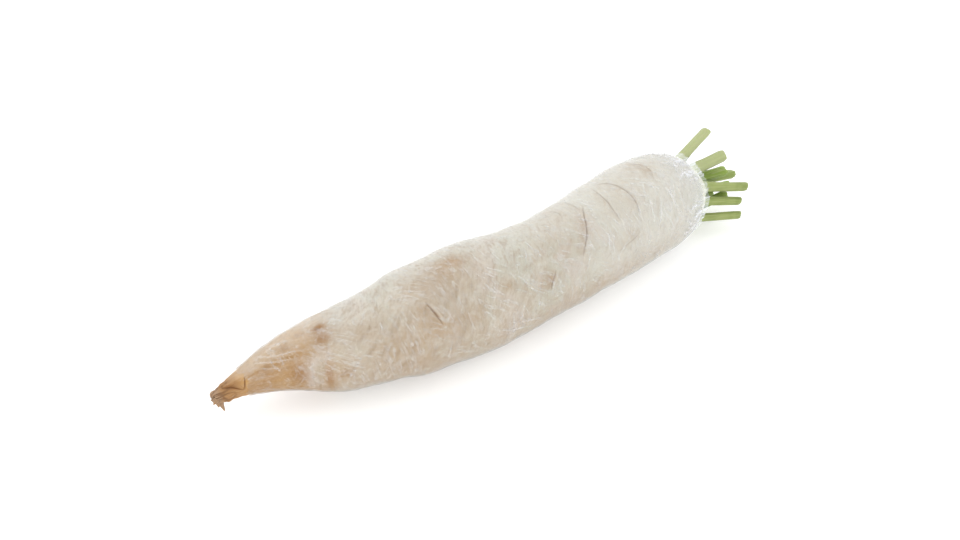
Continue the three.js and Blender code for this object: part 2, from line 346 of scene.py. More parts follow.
def swelling(along, turn):
    """How far the broad swellings move the skin out."""
    total = 0
    for middle, toward, rise, half_length in SWELLINGS:
        around = turn_between(turn, math.radians(toward)) / SWELLING_WIDTH
        total = total + rise * np.exp(-(((along - middle) / half_length) ** 2) - around**2)
    return total


def skin_point(radius, along, turn, relief=0.0):
    """The point over the bent line at a radius and a turn, with the swellings and a relief."""
    place, _, side, up = frame_at(along)
    reach = radius + soft_step(radius, 0, 16) * (swelling(along, turn) + relief)
    return place + side * (reach * np.cos(turn))[..., None] + up * (reach * np.sin(turn))[..., None]


by_height = np.argsort(outline[:, 1], kind="stable")


def radius_at(along):
    """The outline's radius at a distance from the tip."""
    return np.interp(along, outline[by_height, 1], outline[by_height, 0])


print("thickest:", round(2 * outline[:, 0].max(), 1), "mm across before the swellings")

# %% [markdown]
# ## Natural unevenness
# Nothing grown is perfectly round. Two kinds of unevenness are used: soft waves that wander over the skin,
# and grooves along a drawn path. Both are plain formulas with seeded random numbers, so that the radish is
# the same each time it is built.

# %% Waves and grooves
def waves(along, turn, seed, length, rounds, count=26):
    """A soft random relief, about from -1 to 1: waves some length long, up to so many round the root."""
    dice = np.random.default_rng(seed)
    total = 0
    for _ in range(count):
        swing = dice.uniform(0.55, 1.7) * length
        times = int(dice.integers(-rounds, rounds + 1))
        total = total + np.sin(2 * math.pi * along / swing + times * turn + dice.uniform(0, 2 * math.pi))
    return total / math.sqrt(count)


print("a sample of waves:", waves(np.linspace(0, 90, 4), 0, 3, 46, 3).round(2))

# %% Paths and patches
def from_path(along, turn, path):
    """How far each point is to the side of a drawn path in millimetres, and the share of the path nearest."""
    route = smooth_curve([(a, math.radians(t)) for a, t in path], even=True, dense=10)
    reached = lengths(route * (1, radius_at(route[:, 0]).mean()))
    best = np.full(along.shape, 1e9)
    sideways, share = np.zeros(along.shape), np.zeros(along.shape)
    scale = radius_at(along)
    for (a0, t0), (a1, t1), r0, r1 in zip(route, route[1:], reached, reached[1:]):
        x, y = along - a0, turn_between(turn, t0) * scale
        dx, dy = a1 - a0, (t1 - t0) * scale
        part = np.clip((x * dx + y * dy) / (dx * dx + dy * dy + 1e-9), 0, 1)
        apart = np.hypot(x - part * dx, y - part * dy)
        closer = apart < best
        best = np.where(closer, apart, best)
        sideways = np.where(closer, np.where(x * dy - y * dx > 0, apart, -apart), sideways)
        share = np.where(closer, (r0 + part * (r1 - r0)) / reached[-1], share)
    return sideways, share


def hump(value, width):
    """1 at 0, falling softly to 0 a few widths away."""
    return np.exp(-((value / width) ** 2))


def tapered(share, sharp=0.5):
    """0 at both ends of a path and 1 in its middle."""
    return np.clip(np.sin(math.pi * share), 0, 1) ** sharp


def blot(along, turn, middle, toward, half_length, half_turn):
    """A soft oval patch on the skin."""
    around = turn_between(turn, math.radians(toward)) / math.radians(half_turn)
    return np.exp(-(((along - middle) / half_length) ** 2) - around**2)


print("a hump one width away is", round(float(hump(1, 1)), 2), "of its height")

# %% [markdown]
# ## The skin
# The skin is one fine grid, wrapped from the snapped tip to the crown. Its rows are spaced along the
# outline, so that the rounded ends get as many as the sides. The relief has four parts. Faint rings show
# where fine side roots grew. Shallow lumps and lengthwise wrinkles come from drying. Creases are cracks
# and dents from the field, each drawn as a path. And each stalk's foot lifts the crown a little. A crease
# is finer than the grid, so its colour can't be stored point by point. The distance to the side of it is
# stored instead, and the paint draws a line as thin as it likes where that distance is near zero.

# %% The creases
# Each path is (distance from the tip, turn), then depth, half-width, how dark it is, and the stain beside it.
CREASES = [
    ([(123.2, 121.5), (124.7, 131), (126.2, 140.5), (127.6, 149.5)], 0.9, 0.65, 0.9, 0.5),
    ([(241.5, 66), (241.5, 79), (241, 94)], 0.4, 0.7, 0.35, 0.2),
    ([(245.5, 88), (240, 101), (235.5, 116), (231.5, 126.5), (226, 137.5), (223, 145)], 0.8, 0.6, 0.75, 0.35),
    ([(262, 69), (260, 88), (259, 102), (257.5, 115), (257, 131)], 0.55, 0.6, 0.42, 0.15),
    ([(265, 69), (270.5, 81), (273.5, 107), (273.5, 119), (272, 131), (270, 144)], 0.6, 0.6, 0.48, 0.15),
    ([(269.5, 147), (264, 154.5), (254.5, 157), (246, 159)], 0.3, 0.7, 0.25, 0.3),
    ([(289, 66), (296.5, 79), (298.5, 96), (294.5, 111)], 0.35, 0.8, 0.3, 0.4),
    ([(203.5, 143), (201, 150.5), (198.5, 157), (197.4, 162.5)], 0.6, 0.6, 0.75, 0.6),
    ([(221, 56), (228, 66), (229, 84), (224, 98)], 0.35, 0.7, 0.3, 0.2),
    ([(7, 100), (11.5, 128), (15, 153), (18.5, 172)], 0.5, 0.5, 1.0, 0),
    ([(21, 114), (19.5, 139), (17.5, 170)], 0.4, 0.45, 0.9, 0),
    ([(65, 95), (66, 99), (69, 102)], 0.3, 0.6, 0.5, 0),
    ([(196, 250), (200, 275), (197, 300)], 0.7, 0.7, 0.7, 0.5),
    ([(132, 330), (136, 350), (133, 372)], 0.8, 0.7, 0.8, 0.5),
    ([(262, 250), (266, 280), (258, 312)], 0.6, 0.7, 0.5, 0.3),
    ([(90, 262), (92, 280), (89, 296)], 0.5, 0.6, 0.6, 0.4),
    ([(284, 20), (288, 44), (283, 62)], 0.5, 0.7, 0.5, 0.3),
]
SLITS = [  # short faint dashes where a fine side root was: distance from the tip, turn
    (97.5, 126.5), (95.5, 139.5), (105, 125.5), (105, 132), (110, 149), (110.5, 160), (97, 156), (101.5, 162),
    (121, 173.5), (136, 174), (151, 167.5), (107.5, 187.5), (91, 144.5), (101.5, 135), (76, 174), (79.5, 171),
]
BACK_SLITS, BELLY_SLITS = 34, 30
dice = np.random.default_rng(11)
SLITS += [(dice.uniform(60, 240), dice.uniform(205, 400)) for _ in range(BACK_SLITS)]
SLITS += [(dice.uniform(84, 160), dice.uniform(122, 196)) for _ in range(BELLY_SLITS)]
print(len(CREASES), "creases and", len(SLITS), "short slits")

# %% The grid of addresses
ROWS, COLUMNS = 640, 152
row_reach = np.linspace(0, outline_reach[-1], ROWS + 1)
row_point = along_curve(outline, outline_reach, row_reach)
row_slope = slope_of(outline, outline_reach, row_reach)
turn = np.linspace(0, 2 * math.pi, COLUMNS, endpoint=False)[None, :]
radius, along = row_point[:, :1], row_point[:, 1:]
radius, along, turn = (np.broadcast_to(x, (ROWS + 1, COLUMNS)) for x in (radius, along, turn))
print("a row every", round(outline_reach[-1] / ROWS, 2), "mm")

# %% How the skin is marked
TWIST = 18  # how far the painted ring marks lean, either way
RING_STEP, RING_DEPTH = 17, 0.35
DRY_WRINKLE, FINE_WRINKLE, SLIT_DEPTH = 0.16, 0.07, 0.15
DEGREES_IN_RADIAN = 57.3
NONE_NEAR = 9.0  # the distance that is stored where no crease or fold is near
LINE_REACH = 2.5  # how far to either side a crease's or a fold's distance is kept
STALKS = [  # sideways and up from the crown's middle, lean, its direction, length clear, width
    (11.6, 11.2, 18.7, 39, 30.5, 8.4),
    (1.6, 9.8, 15, 313, 31.5, 7.4),
    (3.6, -0.4, 17, 292, 32, 6.8),
    (13.8, -7.8, 13.5, 250, 46, 7.4),
    (-9, 3.7, 22, 226, 31, 7.4),
    (-10.8, -5.7, 22, 233, 27, 7.4),
    (-10.8, -17, 22.5, 200, 30, 5.8),
    (-3, -17.2, 4, 153, 28, 5.6),
    (5.5, -18, 6, 280, 26, 6.0),
    (-1.6, -5.5, 11, 225, 24, 6.4),
]


def leaning(along, turn):
    """The distance from the tip, along rings that lean: the root twists a little as it grows."""
    return along + TWIST * np.sin(turn - math.radians(140))


def lumps(along, turn):
    """Shallow unevenness that the film follows too."""
    return 0.3 * waves(along, turn, 3, 46, 3) + 0.12 * waves(along, turn, 4, 17, 7)


def ring_dent(along, turn):
    """Faint wandering rings, cut into the skin."""
    wander = 2.5 * np.sin(2 * turn + along / 40)
    return -RING_DEPTH * (0.5 - 0.5 * np.cos(2 * math.pi * (along + wander) / RING_STEP))


print("the rings are", RING_STEP, "mm apart, and their marks lean", TWIST, "mm either way")

# %% The relief of the skin
near_tip = 1 - soft_step(along, 30, 95)
relief = ring_dent(along, turn) + lumps(along, turn)
relief = relief - DRY_WRINKLE * near_tip * np.abs(waves(along, turn, 5, 60, 26))
relief = relief - FINE_WRINKLE * np.abs(waves(along, turn, 6, 5, 5))
crack = np.full(along.shape, NONE_NEAR)
dark_here, lip_here, halo, dash, feet = np.zeros((5, *along.shape))
for path, depth, width, dark, stain in CREASES:
    aside, share = from_path(along, turn, path)
    relief = relief - 0.8 * depth * hump(aside, width) * tapered(share)
    relief = relief + 0.3 * depth * hump(aside - 2.4 * width, 1.5 * width) * tapered(share)
    nearest = np.abs(aside) < np.minimum(np.abs(crack), LINE_REACH)
    crack = np.where(nearest, aside, crack)
    dark_here = np.where(nearest, dark * tapered(share, 0.7), dark_here)
    lip_here = np.where(nearest, stain * tapered(share, 0.7), lip_here)
    halo = halo + stain * hump(aside + 2, 4) * tapered(share, 0.8)
for middle, toward in SLITS:
    size = dice.uniform(2.0, 4.2) / radius_at(middle) * DEGREES_IN_RADIAN
    slit = blot(leaning(along, turn), turn, leaning(middle, math.radians(toward)), toward, 0.75, size)
    relief = relief - SLIT_DEPTH * slit
    dash = np.maximum(dash, dice.uniform(0.3, 0.8) * slit)
for side, up, lean, toward, length, width in STALKS:
    apart = np.hypot(radius * np.cos(turn) - side, radius * np.sin(turn) - up)
    feet = np.maximum(feet, np.exp(-((np.maximum(apart - 0.6 * width, 0) / 1.6) ** 2)))
on_crown = soft_step(along, SHOULDER, SHOULDER + 20)
print("relief from", round(float(relief.min()), 2), "to", round(float(relief.max()), 2), "mm")

# %% [markdown]
# The tip was snapped off when the root was pulled. The break is ragged: a few deep splits run back from it,
# and torn fibres stand out between them. It is cut into the same grid with sharper waves that die out
# within the last two centimetres.

# %% The snapped tip and the crown
torn = 1 - soft_step(along, 3, 20)
splits = np.abs(waves(along, turn, 8, 16, 7)) ** 0.7
fibres = waves(along, turn, 9, 30, 24)
tip_relief = torn * (0.9 * waves(along, turn, 7, 9, 3) - 1.0 * (1 - splits) + 0.25 * fibres)
crown_relief = on_crown * (0.9 * feet + 0.25 * waves(along, turn, 12, 7, 9))
lift = tip_relief + crown_relief
lifted_radius = radius + lift * row_slope[:, 1:]
lifted_along = along - lift * row_slope[:, :1]
skin = skin_point(np.maximum(lifted_radius, 0), lifted_along, turn, relief)
REST_GAP = 0.9  # the skin stays this far over the table, and the film is under it
skin[..., 2] = np.maximum(skin[..., 2], REST_GAP)
skin[0], skin[-1] = skin[0].mean(0), skin[-1].mean(0)
print("skin box in mm:", skin.reshape(-1, 3).min(0).round(1), skin.reshape(-1, 3).max(0).round(1))

# %% [markdown]
# A grid becomes a mesh by joining each point to its neighbours. The numbers that the paint needs, such as
# the distance from the tip or how deep a point is in a crease, are stored on the points as attributes.

# %% From a grid to an object
def object_of(name, points, faces, values, paint):
    """A smooth-shaded object from points in millimetres, with named values stored on its points."""
    mesh = bpy.data.meshes.new(name)
    mesh.from_pydata((points / 1000).tolist(), [], faces)
    for key, value in values.items():
        value = np.asarray(value, np.float32)
        kind, field = ("FLOAT_VECTOR", "vector") if value.ndim == 2 else ("FLOAT", "value")
        mesh.attributes.new(key, kind, "POINT").data.foreach_set(field, value.ravel())
    mesh.shade_smooth()
    mesh.materials.append(paint)
    mesh.update()
    made = bpy.data.objects.new(name, mesh)
    bpy.context.scene.collection.objects.link(made)
    return made


def tube_faces(rows, columns, around=True, first=0):
    """Quads of a grid of points that is counted row by row, closed round its columns or not."""
    last = columns if around else columns - 1
    return [
        (first + r * columns + c, first + r * columns + (c + 1) % columns,
         first + (r + 1) * columns + (c + 1) % columns, first + (r + 1) * columns + c)
        for r in range(rows - 1) for c in range(last)
    ]


def closed_tube(grid):
    """Points and faces of a tube whose first and last rows are each one point. Faces look outward."""
    rows, columns = grid.shape[:2]
    points = np.vstack([grid[:1, 0], grid[1:-1].reshape(-1, 3), grid[-1:, 0]])
    faces = tube_faces(rows - 2, columns, first=1)
    end = len(points) - 1
    for c in range(columns):
        after = (c + 1) % columns
        faces.append((0, 1 + after, 1 + c))
        faces.append((end, end - columns + c, end - columns + after))
    return points, faces


def on_tube(values):
    """The same rearrangement for a grid of values."""
    values = np.asarray(values)
    return np.concatenate([values[:1, 0], values[1:-1].reshape(-1, *values.shape[2:]), values[-1:, 0]])


def tube_object(name, grid, values, paint):
    """An object from a closed tube's grid of points and grids of values."""
    points, faces = closed_tube(grid)
    return object_of(name, points, faces, {key: on_tube(value) for key, value in values.items()}, paint)


print("the skin's grid has", skin.shape[0] * skin.shape[1], "points")

# %% [markdown]
# ## The skin's paint
# The white skin isn't white. The ground is a warm cream. Tan stains lie in patches and fine lines round the
# belly, the thin end turns orange-brown, the cracks are brown, and the crown has a breath of green. Some of
# the paint is light and shade: the upper side is painted paler, as a painted highlight, the broad tan along
# the lower side is partly stain and partly painted shade, and the crown's rim is painted a darker green for
# its shade. Noise is stretched round the root for the fine ring lines, and along it for the streaks at the
# tip. The stored address is unrolled into a straight cylinder first, so that the pattern bends with the
# root. A second copy of it is twisted, for the marks that lean as the rings do.

# %% Where the stains and the lower side's painted shade are
# The long broad patches round turn 200 darken the lower side: partly stain, partly painted shade.
STAINS_AND_LOWER_SHADE = [  # distance from the tip, turn, half-length, half-turn, strength
    (149, 92, 12, 13, 0.95), (140, 112, 20, 20, 0.55), (126, 98, 14, 14, 0.3), (146, 153, 14, 13, 0.6),
    (120, 140, 6, 18, 0.5), (104, 152, 26, 26, 0.5), (173.5, 137, 3, 5, 0.8), (191, 151, 5, 7, 0.5),
    (200, 150, 6, 10, 0.35), (104, 200, 64, 42, 0.95), (232, 112, 6, 18, 0.2), (266, 112, 12, 24, 0.2),
    (290, 88, 16, 18, 0.2), (250, 196, 60, 22, 0.5), (215, 118, 20, 24, 0.25), (112, 128, 52, 48, 0.3),
    (205, 206, 50, 26, 0.5), (110, 290, 30, 40, 0.5), (170, 310, 22, 34, 0.4), (210, 265, 24, 24, 0.3),
    (80, 345, 16, 40, 0.5), (83, 121, 12, 14, 0.4),
]
TIP_STAINS = [
    (67, 97, 3.5, 8, 0.95), (68, 119, 5, 9, 0.85), (46.5, 104, 3.5, 8, 0.6), (51, 170, 6, 26, 1.0),
    (68, 182, 3, 26, 0.9), (76, 178, 4, 10, 0.5), (30, 180, 8, 30, 0.4), (52, 262, 14, 30, 0.7),
    (44, 330, 16, 34, 0.7), (72, 20, 5, 16, 0.7), (69, 105, 8, 12, 0.4), (12, 155, 6, 42, 0.3),
    (34, 140, 9, 16, 0.35), (12, 122, 7, 16, 0.8), (20, 186, 9, 34, 0.35), (57, 93, 3, 6, 0.45),
    (32, 130, 3, 12, 0.3),
]
UNROLLED_RADIUS = 31


def unroll(along, turn):
    """The address as a place on a straight cylinder, for the noise."""
    return np.stack([along, UNROLLED_RADIUS * np.cos(turn), UNROLLED_RADIUS * np.sin(turn)], -1)


tan = sum(s * blot(along, turn, a, t, h, w) for a, t, h, w, s in STAINS_AND_LOWER_SHADE) + halo
brown = sum(s * blot(along, turn, a, t, h, w) for a, t, h, w, s in TIP_STAINS)
thin_end = 1 - soft_step(along + 5 * waves(along, turn, 21, 40, 3), 50, 80)
# 1 on the upper side of the root, where the skin is painted paler: a painted highlight for the light from
# above.
lit_top = soft_step(np.cos(turn - math.radians(60)), 0.35, 0.95)
# The thin end's orange is also painted weaker on the upper side: a painted highlight.
thin_end = thin_end * (1 - 0.35 * lit_top * soft_step(along, 12, 30) - 0.2 * blot(along, turn, 44, 100, 14, 18))
core = 0.65 * blot(along, turn, 149, 91, 8, 9) + 0.6 * blot(along, turn, 173.5, 137, 3, 5)
core = core + 0.45 * blot(along, turn, 127, 153, 6, 9) + 0.25 * halo
print("stained share:", round(float((tan > 0.25).mean()), 2))

# %% The skin's colours
CREAM, GREEN_CREAM, PINK_CREAM = (0.62, 0.57, 0.475, 1), (0.595, 0.575, 0.48, 1), (0.63, 0.56, 0.48, 1)
PALE, PAINTED_TOP_HIGHLIGHT = (0.72, 0.70, 0.635, 1), (0.725, 0.705, 0.64, 1)
BLOTCH, LIGHT_BLOTCH = (0.53, 0.455, 0.36, 1), (0.69, 0.665, 0.585, 1)
RING_LINE, PALE_RING = (0.46, 0.375, 0.275, 1), (0.70, 0.66, 0.59, 1)
TAN, ORANGE_TAN, BROWN = (0.49, 0.38, 0.262, 1), (0.53, 0.34, 0.18, 1), (0.38, 0.205, 0.07, 1)
ORANGE, PALE_STREAK = (0.47, 0.28, 0.10, 1), (0.64, 0.52, 0.36, 1)
PAINTED_TIP_TOP_HIGHLIGHT, DARK_STREAK = (0.71, 0.565, 0.41, 1), (0.37, 0.215, 0.085, 1)
FRECKLE, LIGHT_FRECKLE = (0.41, 0.31, 0.21, 1), (0.70, 0.675, 0.615, 1)
DARK_END, TORN_WOOD, GREY_END = (0.28, 0.14, 0.05, 1), (0.27, 0.135, 0.05, 1), (0.33, 0.235, 0.165, 1)
CROWN_GREEN, SLIT, LIP = (0.52, 0.555, 0.38, 1), (0.33, 0.235, 0.15, 1), (0.72, 0.685, 0.61, 1)
CRACK, TIP_CRACK = (0.205, 0.105, 0.045, 1), (0.12, 0.036, 0.001, 1)
SPLIT_SHADE, SPLIT = (0.2, 0.08, 0.015, 1), (0.15, 0.07, 0.025, 1)
print("the ground is a cream of", CREAM[:3])

# %% The skin's patterns
skin_paint, tree, out = material_of("radish_skin")
place, twist = stored(tree, "unrolled", "Vector"), stored(tree, "twisted", "Vector")
far, lit_top_share, thin = stored(tree, "along"), stored(tree, "lit_top"), stored(tree, "thin_end")
clouds = noise(tree, place, 0.045, 4)
warm_clouds = noise(tree, stretched(tree, place, (0.05, 0.035, 0.035)), 1.0, 4, 0.55, 0.5)
fine_rings = noise(tree, stretched(tree, twist, (0.75, 0.15, 0.15)), 1.0, 5, 0.7, 0.6)
streaks = noise(tree, stretched(tree, place, (0.075, 0.5, 0.5)), 1.0, 5, 0.68, 1.0)
mottle = noise(tree, place, 0.22, 5, 0.65)
blotches = noise(tree, stretched(tree, twist, (0.19, 0.12, 0.12)), 1.0, 5, 0.7, 0.8)
grain = noise(tree, place, 1.4, 4, 0.6)
flecks = noise(tree, stretched(tree, twist, (0.62, 0.30, 0.30)), 1.0, 4, 0.75, 0.6)
tip_half = window(tree, far, 250, 190)
ring_zone = product(tree, window(tree, far, 62, 92), window(tree, far, 205, 160))
print("the skin's patterns take", len(tree.nodes), "nodes")

# %% [markdown]
# The layers go on from the ground up. Each line names its colour and then the shares that keep it in its
# place: where on the root it is allowed, where the noise lets it through, and how strong it may be.

# %% The skin's layers
colour = layer(tree, window(tree, clouds, 0.42, 0.58), CREAM, GREEN_CREAM)
colour = coat(tree, colour, PINK_CREAM, window(tree, warm_clouds, 0.5, 0.62))
colour = coat(tree, colour, PALE, window(tree, far, 190, 280), 0.85)
# A painted highlight: the upper side is painted paler, as if lit from above.
colour = coat(tree, colour, PAINTED_TOP_HIGHLIGHT, lit_top_share, 0.5)
strength = maths(tree, "MULTIPLY_ADD", tip_half, 0.45, 0.25)
colour = coat(tree, colour, BLOTCH, window(tree, blotches, 0.5, 0.62), strength)
colour = coat(tree, colour, LIGHT_BLOTCH, window(tree, blotches, 0.47, 0.36), 0.65)
strength = maths(tree, "MULTIPLY_ADD", ring_zone, 0.7, 0.3)
rings = window(tree, fine_rings, 0.5, 0.68)
colour = coat(tree, colour, RING_LINE, rings, window(tree, mottle, 0.3, 0.7), strength)
colour = coat(tree, colour, PALE_RING, window(tree, fine_rings, 0.48, 0.34), ring_zone, 0.9)
# Tan: the stains, and along the lower side partly painted shade.
colour = coat(tree, colour, TAN, stored(tree, "tan"), window(tree, mottle, 0.1, 0.6))
colour = coat(tree, colour, ORANGE_TAN, stored(tree, "core"), window(tree, mottle, 0.35, 0.6), 0.7)
colour = coat(tree, colour, ORANGE, thin, window(tree, streaks, 0.15, 0.45))
colour = coat(tree, colour, PALE_STREAK, thin, window(tree, streaks, 0.55, 0.72), 0.75)
# A painted highlight: a paler tan on the upper side of the thin end.
colour = coat(tree, colour, PAINTED_TIP_TOP_HIGHLIGHT, lit_top_share, window(tree, far, 76, 56), 0.5)
colour = coat(tree, colour, DARK_STREAK, thin, window(tree, streaks, 0.42, 0.3), 0.6)
colour = coat(tree, colour, BROWN, stored(tree, "brown"), window(tree, mottle, 0.2, 0.5))
strength = maths(tree, "MULTIPLY_ADD", tip_half, 0.45, 0.2)
colour = coat(tree, colour, FRECKLE, window(tree, flecks, 0.54, 0.7), strength)
colour = coat(tree, colour, LIGHT_FRECKLE, window(tree, flecks, 0.44, 0.3), 0.4)
colour = coat(tree, colour, DARK_END, window(tree, far, 20, 11), 0.4)
colour = coat(tree, colour, TORN_WOOD, stored(tree, "torn"), window(tree, streaks, 0.25, 0.6))
colour = coat(tree, colour, GREY_END, window(tree, far, 7, 3), 0.6)
# The crown's green, and painted shade on the crown's rim.
colour = coat(tree, colour, CROWN_GREEN, stored(tree, "green"))
colour = coat(tree, colour, SLIT, stored(tree, "dash"), 0.75)
print("with its layers the skin has", len(tree.nodes), "nodes")

# %% The creases, from the stored distance
aside, dark = stored(tree, "crack"), stored(tree, "dark")
crack_colour = layer(tree, window(tree, far, 34, 24), CRACK, TIP_CRACK)
colour = coat(tree, colour, LIP, ridge(tree, aside, 1.5, 1.1), stored(tree, "lip"))
colour = coat(tree, colour, SPLIT_SHADE, ridge(tree, aside, 0.5, 2.2), dark, window(tree, far, 17, 11), 0.85)
colour = coat(tree, colour, crack_colour, ridge(tree, aside, 0, 0.75), dark)
colour = coat(tree, colour, SPLIT, stored(tree, "split"))
print("with its creases it has", len(tree.nodes))

# %% [markdown]
# Living tissue isn't painted wood: some light goes in and comes out a few millimetres away. Subsurface does
# that, and it takes the hardness off every edge. The skin and the stalks share this surface, with their own
# gloss and depth.

# %% The skin's surface
def plant_surface(tree, out, colour, roughness, bump, shine, sinks_in, spread):
    """A soft gloss over flesh that some light sinks into, where red, green and blue spread a given way."""
    body = node(
        tree, "ShaderNodeBsdfPrincipled", Base_Color=colour, Roughness=roughness, Normal=bump.outputs[0]
    )
    set_inputs(body, Specular_IOR_Level=shine, Subsurface_Weight=sinks_in)
    set_inputs(body, Subsurface_Radius=spread, Subsurface_Scale=1.0)
    join(tree, out.inputs["Surface"], body.outputs[0])


roughness = maths(tree, "MULTIPLY_ADD", mottle, 0.25, 0.38)
height = maths(tree, "MULTIPLY_ADD", fine_rings, 0.6, maths(tree, "MULTIPLY", grain, 0.4))
bump = node(tree, "ShaderNodeBump", Height=height, Strength=0.35, Distance=0.0004)
plant_surface(tree, out, colour, roughness, bump, 0.3, 0.12, (0.004, 0.003, 0.002))
print("the whole skin has", len(tree.nodes), "nodes")

# %% The root
crown_disc = soft_step(along, SHOULDER + 34, ROOT_LENGTH - 2)
# Painted shade: the crown's rim is painted a darker green on its lower sides, where it turns away from the
# light.
crown_rim_shade = 0.3 * blot(along, turn, 323, 168, 9, 34) + 0.3 * blot(along, turn, 323, 330, 9, 40)
values = {
    "along": along,
    "unrolled": unroll(along, turn),
    "twisted": unroll(leaning(along, turn), turn),
    "lit_top": lit_top,
    "tan": np.clip(tan, 0, 1),
    "core": np.clip(core, 0, 1),
    "brown": np.clip(brown, 0, 1),
    "thin_end": thin_end,
    "torn": 1 - soft_step(along, 5, 27),
    "green": np.clip(0.6 * crown_disc + 0.25 * on_crown * feet + crown_rim_shade, 0, 1),
    "crack": crack,
    "dark": dark_here,
    "lip": lip_here,
    "dash": dash,
    "split": torn * 0.8 * soft_step(1 - splits, 0.45, 0.9),
}
root = tube_object("radish_root", skin, values, skin_paint)
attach(root, "root")
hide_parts("root")
print("the root has", len(root.data.polygons), "faces")

# %% [markdown]
# ## Broken side roots
# Thin side roots grow out of the tip and snap off short. Each is a small cone that starts inside the tip
# and bends a little. They're separate meshes, because a side root starts inside the root's own tissue and
# isn't a bulge of its skin.

# %% Side roots
SIDE_ROOTS = [  # distance from the tip, turn, length, radius, shift of the end along X
    (4, 258, 9.5, 1.9, 0.5), (2.5, 240, 4.5, 1.9, -1.0), (2, 190, 2.2, 1.8, -3.2),
]
SIDE_ROOT_MARKS = {"tan": 1, "brown": 0.3, "thin_end": 1, "torn": 0.7, "crack": NONE_NEAR, "split": 0.15}
LIKE_TIP = 6  # a side root is painted as the root's first few millimetres are


def cone_along(route, radii, columns, seed):
    """A closed tube of points along a smooth route, with a radius for each point of it."""
    ahead = np.gradient(route, axis=0)
    ahead /= np.linalg.norm(ahead, axis=1, keepdims=True)
    across = np.cross([1.0, 0.0, 0.0], ahead)
    across /= np.linalg.norm(across, axis=1, keepdims=True)
    over = np.cross(ahead, across)
    turn = np.linspace(0, 2 * math.pi, columns, endpoint=False)[None, :]
    share = np.linspace(0, 1, len(route))[:, None]
    uneven = 1 + 0.1 * waves(8 * share, turn, seed, 4, 6)
    reach = np.asarray(radii)[:, None] * uneven
    grid = route[:, None] + across[:, None] * (reach * np.cos(turn))[..., None]
    grid = grid + over[:, None] * (reach * np.sin(turn))[..., None]
    grid[0], grid[-1] = grid[0].mean(0), grid[-1].mean(0)
    return grid


for number, (start, toward, length, thick, shift) in enumerate(SIDE_ROOTS, 1):
    place, _, side, up = frame_at(start)
    out_way = side * math.cos(math.radians(toward)) + up * math.sin(math.radians(toward))
    foot = place + 2 * out_way
    knee = foot + 0.6 * length * out_way + (0.3 * shift, 0, 0)
    end = foot + length * out_way + (shift, 0, 0)
    route = smooth_curve([foot, knee, end], even=False, dense=16)
    share = np.linspace(0, 1, len(route))
    radii = thick * (1 - 0.78 * share) * np.sqrt(np.clip(1 - share**8, 0, 1))
    grid = cone_along(route, radii, 24, 40 + number)
    like_tip = np.broadcast_to(LIKE_TIP * share[:, None], grid.shape[:2])
    values = {key: np.full(grid.shape[:2], SIDE_ROOT_MARKS.get(key, 0)) for key in values}
    straight = np.concatenate([like_tip[..., None], grid[..., 1:]], -1)
    values |= {"along": like_tip, "unrolled": straight, "twisted": straight}
    piece = tube_object(f"side_root_{number}", grid, values, skin_paint)
    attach(piece, "root")
print(len(SIDE_ROOTS), "side roots")

# %% [markdown]
# ## The leaf stalks
# Each leaf was cut a few centimetres from the crown. What is left is a stout stalk: wide and pale at the
# foot, ribbed along its length, with a shallow channel on its inner side, and a slanting cut that shows
# pale pith. The ribs and channel are in the mesh, so that they also show in outline.

# %% A stalk's form
SOCKET_DEPTH = 4.5
STALK_ROWS, STALK_COLUMNS, CUT_ROWS = 64, 48, 12
FOOT_FLARE, FLATNESS, BLUNT_RIM = 0.22, 0.82, 0.1
CHANNEL_DEPTH, CHANNEL_HALF = 0.3, math.radians(35)
CUT_SLOPE, PITH_HOLLOW = 0.15, 0.7


def crown_height(radius):
    """How far along the root the crown's surface is, at a radius from its middle."""
    top = outline[outline[:, 1] > SHOULDER]
    return np.interp(-radius, -top[:, 0], top[:, 1])


